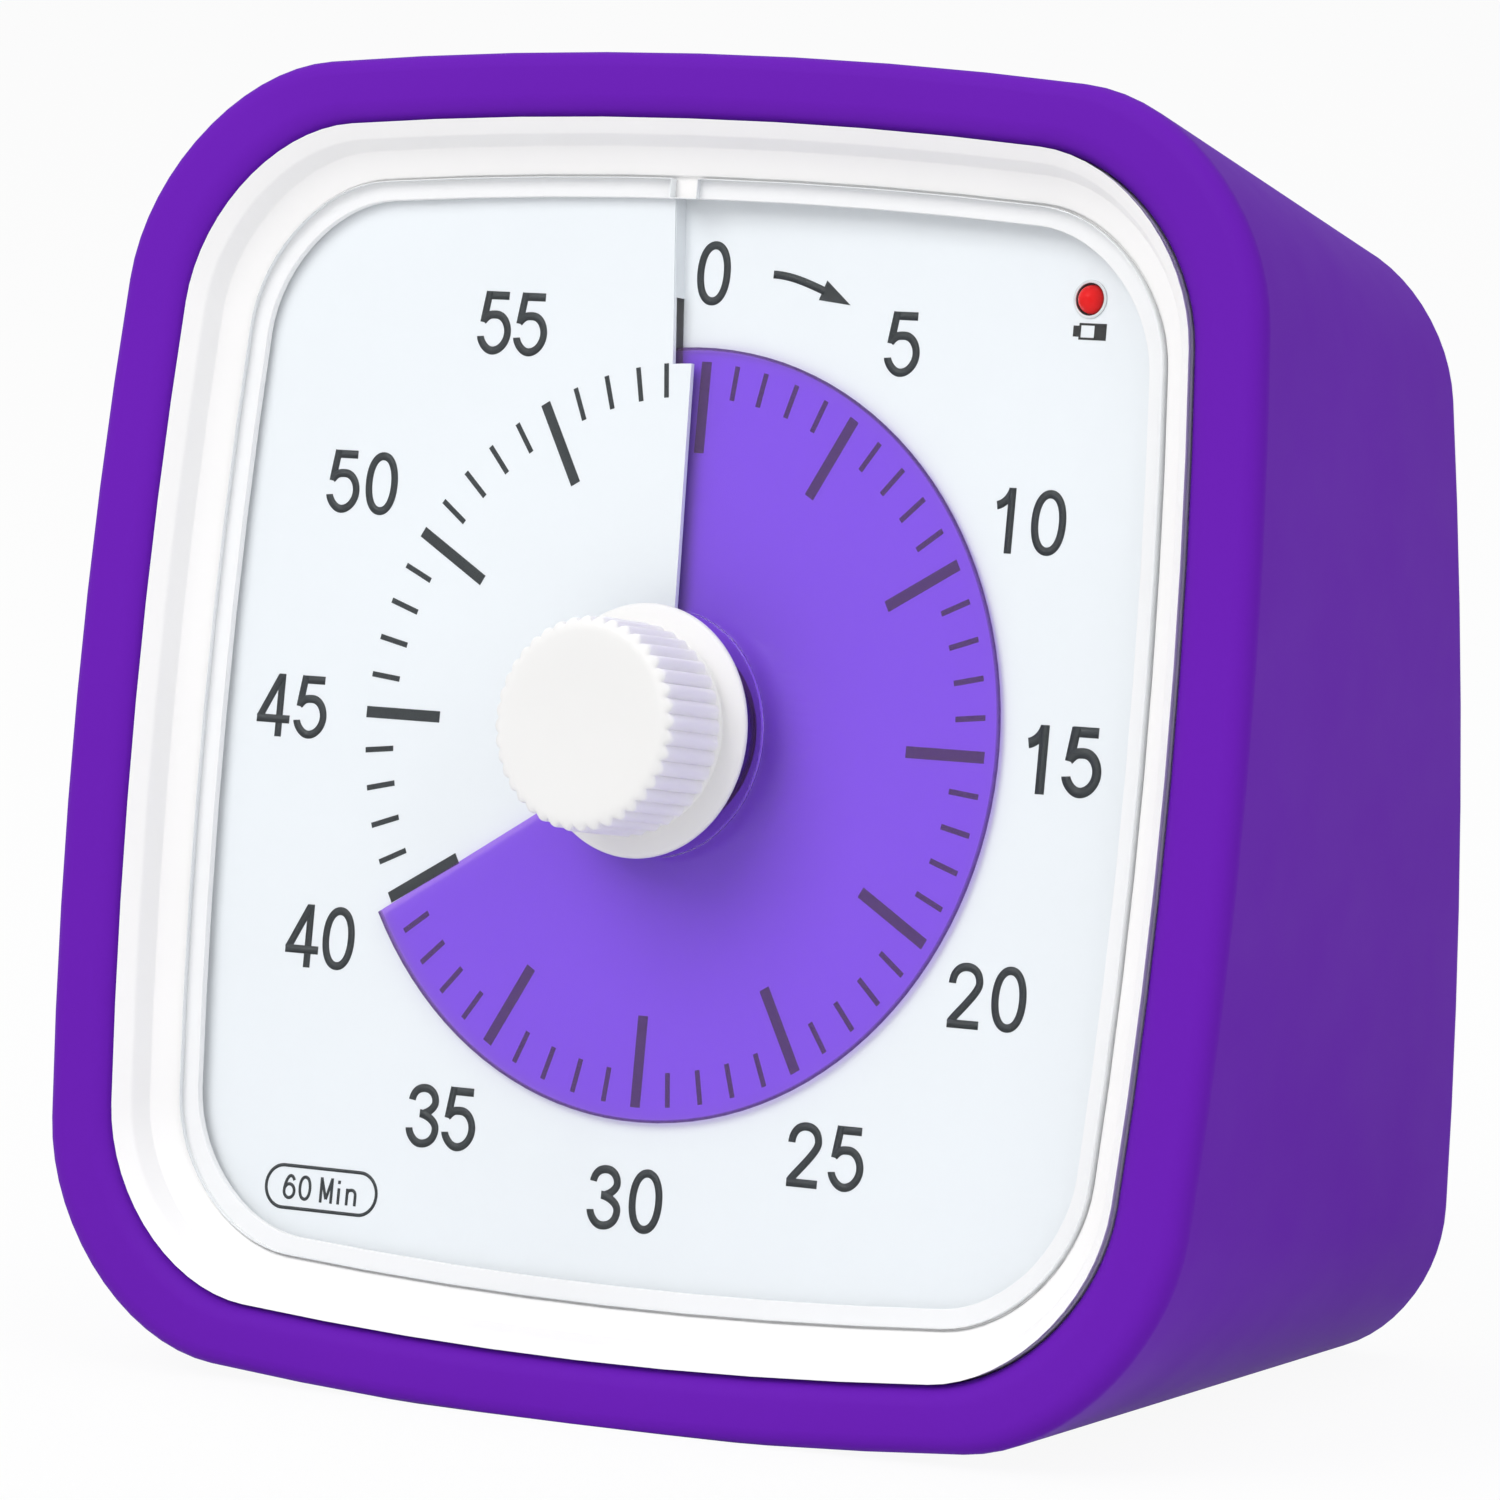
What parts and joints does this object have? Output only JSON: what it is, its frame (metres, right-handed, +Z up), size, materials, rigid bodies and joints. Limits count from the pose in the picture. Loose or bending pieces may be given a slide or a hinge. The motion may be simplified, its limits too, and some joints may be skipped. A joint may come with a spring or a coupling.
{
  "type": "visual countdown timer",
  "caption": "Small desk countdown timer in a purple rubber cover, with a white ribbed knob and a purple disc that shows the minutes left.",
  "frame": {"origin": "on the table under the middle of the part's bounding box", "axes": "+Z up, -Y towards the front face, which leans back 9.3 degrees, +X to the right as one looks at the dial"},
  "size_m": [0.0814, 0.0472, 0.0781],
  "materials": {
    "purple_silicone": "matte",
    "white_plastic": "satin",
    "clear_lens": "polished",
    "dial_print": "satin",
    "chassis_plastic": "matte",
    "screw_steel": "satin",
    "purple_film": "satin",
    "hub_plastic": "matte",
    "knob_plastic": "satin",
    "spindle_steel": "satin",
    "contact_brass": "satin",
    "movement_plastic": "matte",
    "gear_plastic": "matte",
    "magnet": "satin",
    "stator_steel": "satin",
    "bobbin_plastic": "matte",
    "copper_wire": "satin",
    "circuit_board": "satin",
    "crystal_can": "polished",
    "chip_black": "matte",
    "capacitor_sleeve": "satin",
    "buzzer_black": "matte",
    "switch_metal": "satin",
    "switch_black": "matte",
    "led_red": "polished",
    "contact_steel": "satin",
    "cell_sleeve": "satin",
    "red_wire": "satin",
    "grey_wire": "satin",
    "yellow_wire": "satin"
  },
  "bodies": {
    "timer_case": {"silicone_cover": "purple_silicone", "front_housing": "white_plastic", "rear_housing": "white_plastic", "lens": "clear_lens", "dial": "dial_print", "chassis_plate": "chassis_plastic", "housing_screws": "screw_steel", "movement_front_case": "movement_plastic", "movement_rear_case": "movement_plastic", "movement_screws": "screw_steel", "stator": "stator_steel", "coil_core": "stator_steel", "coil_bobbin": "bobbin_plastic", "coil_winding": "copper_wire", "movement_board": "circuit_board", "quartz_crystal": "crystal_can", "timer_chip": "chip_black", "alarm_board": "circuit_board", "alarm_chip": "chip_black", "capacitor": "capacitor_sleeve", "board_screws": "screw_steel", "buzzer": "buzzer_black", "volume_switch_body": "switch_metal", "warning_led": "led_red", "led_board": "circuit_board", "battery_contact": "contact_steel", "battery_spring": "contact_steel", "aa_cell": "cell_sleeve", "battery_leads": "red_wire", "led_leads": "grey_wire", "movement_leads": "yellow_wire"},
    "knob": {"knob": "knob_plastic", "spindle": "spindle_steel", "zero_wiper": "contact_brass", "clutch_spring": "contact_brass"},
    "film": {"film_disc": "purple_film", "film_hub": "hub_plastic"},
    "hour_wheel": {"hour_wheel": "gear_plastic"},
    "third_wheel": {"third_wheel": "gear_plastic"},
    "seconds_wheel": {"seconds_wheel": "gear_plastic"},
    "intermediate_wheel": {"intermediate_wheel": "gear_plastic"},
    "rotor": {"rotor_pinion": "gear_plastic", "rotor_magnet": "magnet"},
    "volume_switch": {"volume_switch_knob": "switch_black"},
    "battery_door": {"battery_door": "white_plastic"}
  },
  "joints": [
    {"name": "knob_turn", "type": "hinge", "parent": "timer_case", "child": "knob", "pos_m": [0, -0.01311, 0.03889], "axis": [0, 0.9869, -0.1616], "range_deg": [-240, 120]},
    {"name": "film_advance", "type": "slide", "parent": "knob", "child": "film", "axis": [0, -0.9869, 0.1616], "range_m": [-0.00067, 0.00034]},
    {"name": "rotor_spin", "type": "hinge", "parent": "timer_case", "child": "rotor", "pos_m": [0.01158, -0.00424, 0.03738], "axis": [0, 0.9869, -0.1616], "continuous": true},
    {"name": "intermediate_spin", "type": "hinge", "parent": "timer_case", "child": "intermediate_wheel", "pos_m": [0.01158, -0.00346, 0.04212], "axis": [0, 0.9869, -0.1616], "continuous": true},
    {"name": "seconds_spin", "type": "hinge", "parent": "timer_case", "child": "seconds_wheel", "pos_m": [0.0085, -0.0026, 0.04738], "axis": [0, 0.9869, -0.1616], "continuous": true},
    {"name": "third_spin", "type": "hinge", "parent": "timer_case", "child": "third_wheel", "pos_m": [0, -0.0026, 0.04738], "axis": [0, 0.9869, -0.1616], "continuous": true},
    {"name": "hour_spin", "type": "hinge", "parent": "timer_case", "child": "hour_wheel", "pos_m": [0, -0.00423, 0.03744], "axis": [0, 0.9869, -0.1616], "continuous": true},
    {"name": "volume_slide", "type": "slide", "parent": "timer_case", "child": "volume_switch", "axis": [-1, 0, 0], "range_m": [0, 0.004]},
    {"name": "battery_door_hinge", "type": "hinge", "parent": "timer_case", "child": "battery_door", "pos_m": [0, 0.02064, 0.01145], "axis": [-1, 0, 0], "range_deg": [0, 95]}
  ],
  "couplings": [
    {"joint": "film_advance", "follows": "knob_turn", "m_per_rad": 0.00015915},
    {"joint": "intermediate_spin", "follows": "rotor_spin", "ratio": -0.2},
    {"joint": "seconds_spin", "follows": "rotor_spin", "ratio": 0.033333},
    {"joint": "third_spin", "follows": "rotor_spin", "ratio": -0.0044444},
    {"joint": "hour_spin", "follows": "rotor_spin", "ratio": 0.00055556}
  ]
}
